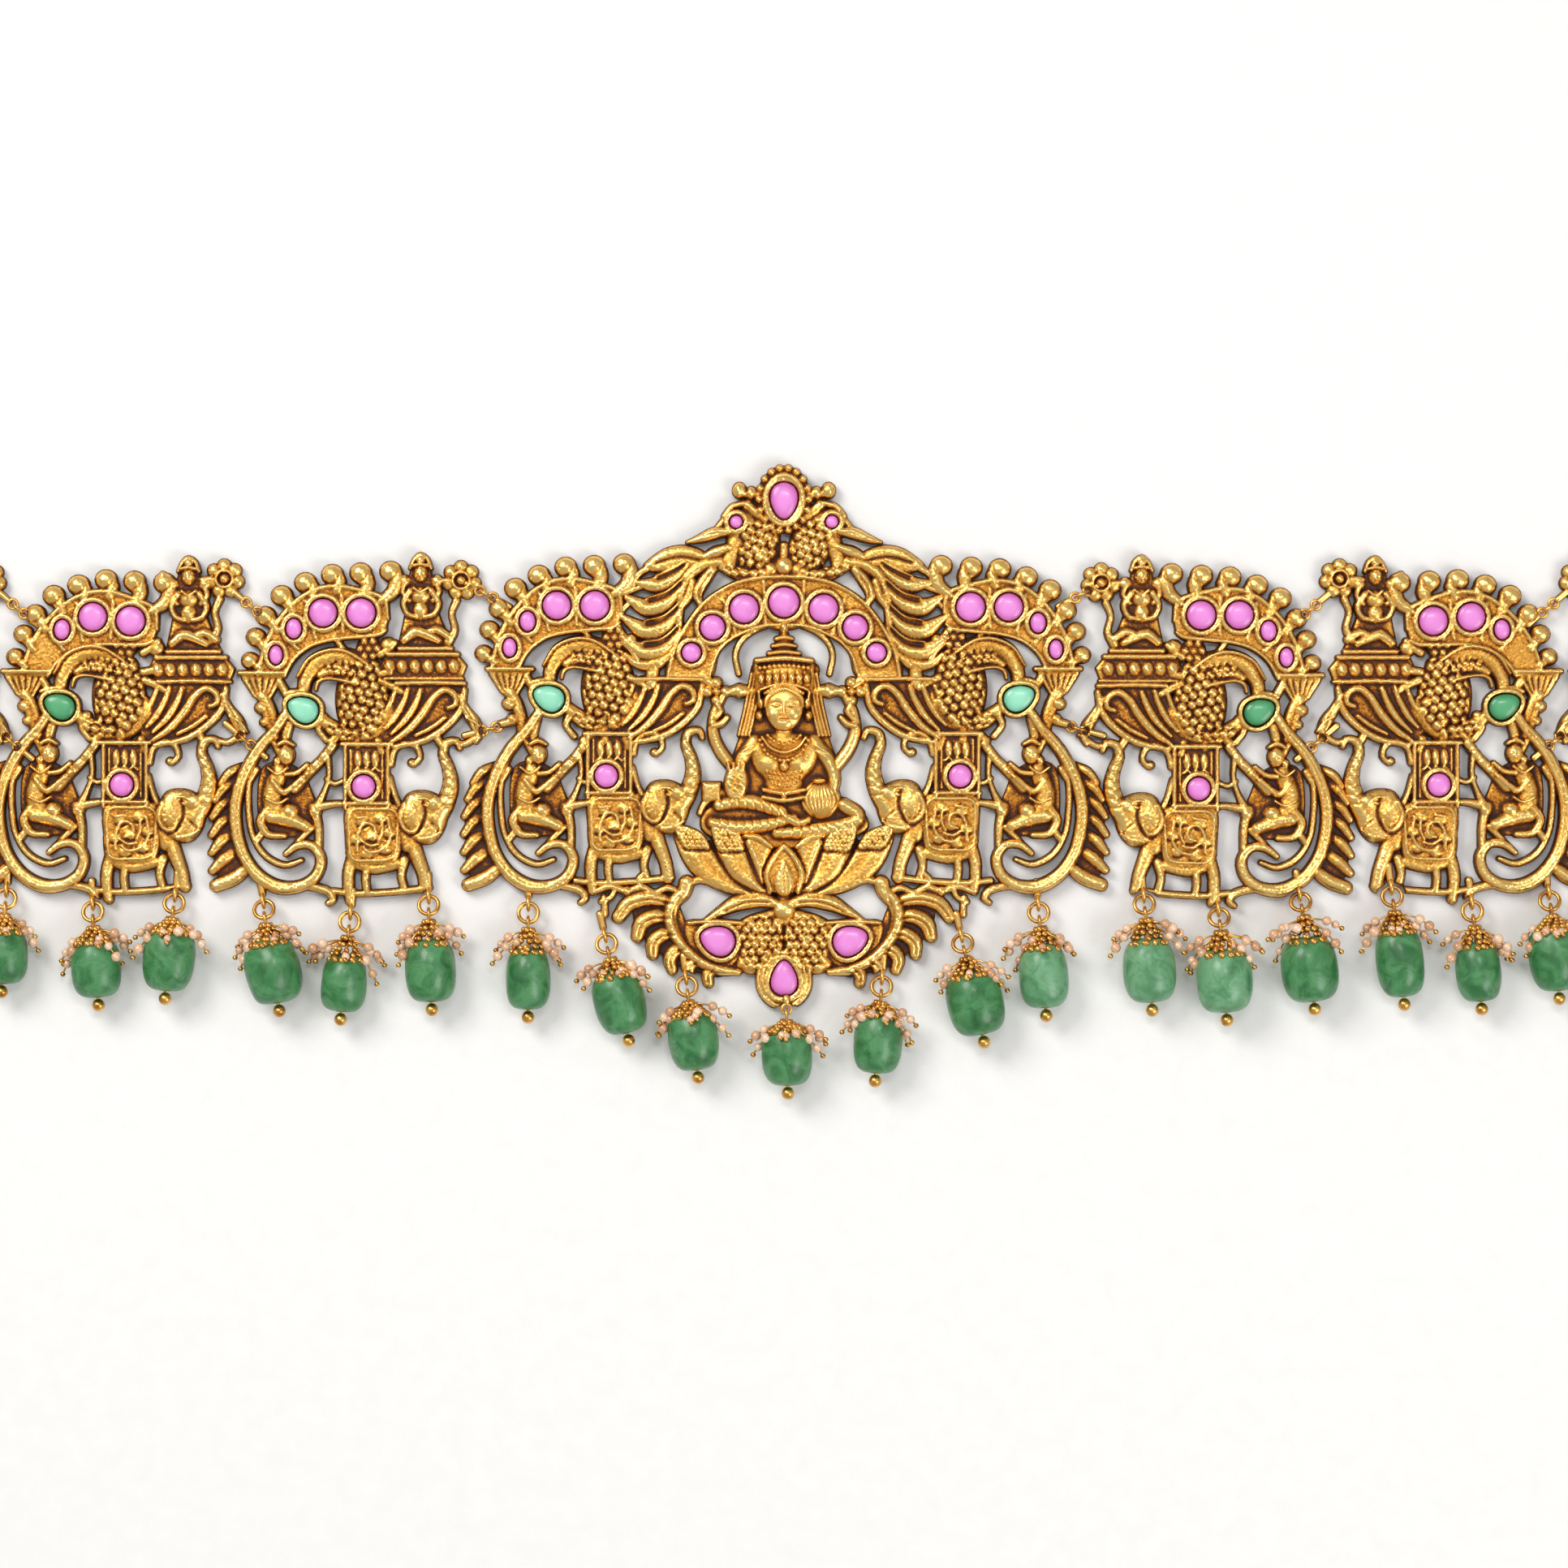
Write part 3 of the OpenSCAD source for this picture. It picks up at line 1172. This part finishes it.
module chain_side(way) {
  n = link_count(way);
  pitch = (last_s(way) - first_s) / n;
  color(golden)
    mirror([way > 0 ? 0 : 1, 0, 0])
      for (i = [0 : n]) {
        p = chain_point(first_s + i * pitch, way);
        translate([p[0], p[1], chain_h])
          rotate([0, 0, p[2]])
            rotate([i % 2 == 0 ? lean : -lean, 0, 0])
              chain_link();
      }
}

// where the end ring and the hook stand along x
ring_x = -end_x + chain_half - (chain_wire + hook_wire) / 2 - 2 * chain_play + end_ring_r;
bend_x = ring_x + end_ring_r - hook_wire - chain_play + hook_r;
eye_x = end_x - chain_half + (chain_wire + hook_wire) / 2 + chain_play - hook_r;
hook_h = hook_r * sin(lean) + hook_wire / 2;
// turns of the end ring and the hook about x, each across the link that holds it
ring_turn = link_count(1) % 2 == 0 ? -lean : lean;
hook_turn = -ring_turn;

module end_ring() {
  color(golden)
    translate([ring_x, back_y, end_ring_r * sin(lean) + hook_wire / 2])
      rotate([ring_turn, 0, 0])
        torus(end_ring_r, hook_wire);
}

module hook() {
  color(golden)
    translate([0, back_y, hook_h])
      rotate([hook_turn, 0, 0]) {
        translate([eye_x, 0, 0])
          half_torus(hook_r, hook_wire);
        translate([bend_x, 0, 0])
          rotate([0, 0, 180])
            half_torus(hook_r, hook_wire);
        translate([bend_x, hook_r, 0])
          rotate([0, 90, 0])
            cylinder(d = hook_wire, h = eye_x - bend_x);
        for (tip = [[bend_x, 1], [eye_x, -1]]) {
          translate([tip[0], -hook_r, 0])
            rotate([0, tip[1] * 90, 0])
              cylinder(d = hook_wire, h = hook_tip);
          translate([tip[0] + tip[1] * hook_tip, -hook_r, 0])
            sphere(d = hook_ball);
        }
      }
}

module plaque_centre() {
  color(golden) {
    difference() {
      union() {
        levels() {
          centre_whole_flat(1);
          centre_whole_flat(2);
          centre_whole_flat(3);
        }
        bezels(centre_pinks);
        for (k = [0, 1]) {
          at_place(k) {
            bezels(side_pinks(places[k]));
            bezels(side_greens(places[k]));
          }
        }
      }
      seats(centre_pinks);
      for (k = [0, 1]) {
        at_place(k) {
          seats(side_pinks(places[k]));
          seats(side_greens(places[k]));
        }
      }
      for (i = [0, 1, 6, 7]) {
        link_room(joins[i]);
      }
      for (i = [9 : 15]) {
        eyelet_room(drops[i]);
      }
    }
    for (i = [0, 1]) {
      link_lug(joins[i], 1);
    }
    for (i = [6, 7]) {
      link_lug(joins[i], -1);
    }
    for (i = [9 : 15]) {
      eyelet(drops[i]);
    }
  }
}

// moves to a plaque's own frame
module at_place(k) {
  translate([step * places[k][p_x], step * places[k][p_y], 0])
    mirror([places[k][p_side] > 0 ? 0 : 1, 0, 0])
      children();
}

// the centre plaque with its two wings at one level
module centre_whole_flat(level) {
  centre_flat(level);
  for (k = [0, 1]) {
    translate(step * [places[k][p_x], places[k][p_y]])
      mirror([places[k][p_side] > 0 ? 0 : 1, 0])
        side_flat(places[k], level, false);
  }
}

module plaque_left_1() {
  side_plaque(2, [6, 7, 8], [0, 1], [2, 3], false);
}

module plaque_left_2() {
  side_plaque(4, [3, 4, 5], [2, 3], [4, 5], false);
}

module plaque_left_3() {
  side_plaque(6, [0, 1, 2], [4, 5], [], true);
}

module plaque_right_1() {
  side_plaque(3, [16, 17, 18], [6, 7], [8, 9], false);
}

module plaque_right_2() {
  side_plaque(5, [19, 20, 21], [8, 9], [10, 11], false);
}

module plaque_right_3() {
  side_plaque(7, [22, 23, 24], [10, 11], [], true);
}

// pink stones of the side plaque k
module pinks(k) {
  color(pink)
    at_place(k)
      cut_stones(side_pinks(places[k]));
}

module pinks_centre() {
  color(pink)
    cut_stones(centre_pinks);
}

// green stones of the side plaques in the list
module greens(rows) {
  color(pale_green)
    for (k = rows) {
      at_place(k)
        cut_stones(side_greens(places[k]));
    }
}

module drop_rings() {
  color(golden)
    for (d = drops) {
      jump_ring(d);
    }
}

module head_pins() {
  color(golden)
    for (d = drops) {
      head_pin(d);
    }
}

module link_rings() {
  color(golden)
    for (j = joins) {
      link_ring(j);
    }
}

plaque_centre();
plaque_left_1();
plaque_left_2();
plaque_left_3();
plaque_right_1();
plaque_right_2();
plaque_right_3();
pinks_centre();
pinks(0);  // pinks_left_0
pinks(1);  // pinks_right_0
pinks(2);  // pinks_left_1
pinks(3);  // pinks_right_1
pinks(4);  // pinks_left_2
pinks(5);  // pinks_right_2
pinks(6);  // pinks_left_3
pinks(7);  // pinks_right_3
greens([0, 2, 4, 6]);  // greens_left
greens([1, 3, 5, 7]);  // greens_right
drop_rings();
head_pins();
link_rings();
chain_side(1);  // chain_left
chain_side(-1);  // chain_right
end_ring();
hook();
bead(drops[0]);  // bead_01
bead(drops[1]);  // bead_02
bead(drops[2]);  // bead_03
bead(drops[3]);  // bead_04
bead(drops[4]);  // bead_05
bead(drops[5]);  // bead_06
bead(drops[6]);  // bead_07
bead(drops[7]);  // bead_08
bead(drops[8]);  // bead_09
bead(drops[9]);  // bead_10
bead(drops[10]);  // bead_11
bead(drops[11]);  // bead_12
bead(drops[12]);  // bead_13
bead(drops[13]);  // bead_14
bead(drops[14]);  // bead_15
bead(drops[15]);  // bead_16
bead(drops[16]);  // bead_17
bead(drops[17]);  // bead_18
bead(drops[18]);  // bead_19
bead(drops[19]);  // bead_20
bead(drops[20]);  // bead_21
bead(drops[21]);  // bead_22
bead(drops[22]);  // bead_23
bead(drops[23]);  // bead_24
bead(drops[24]);  // bead_25
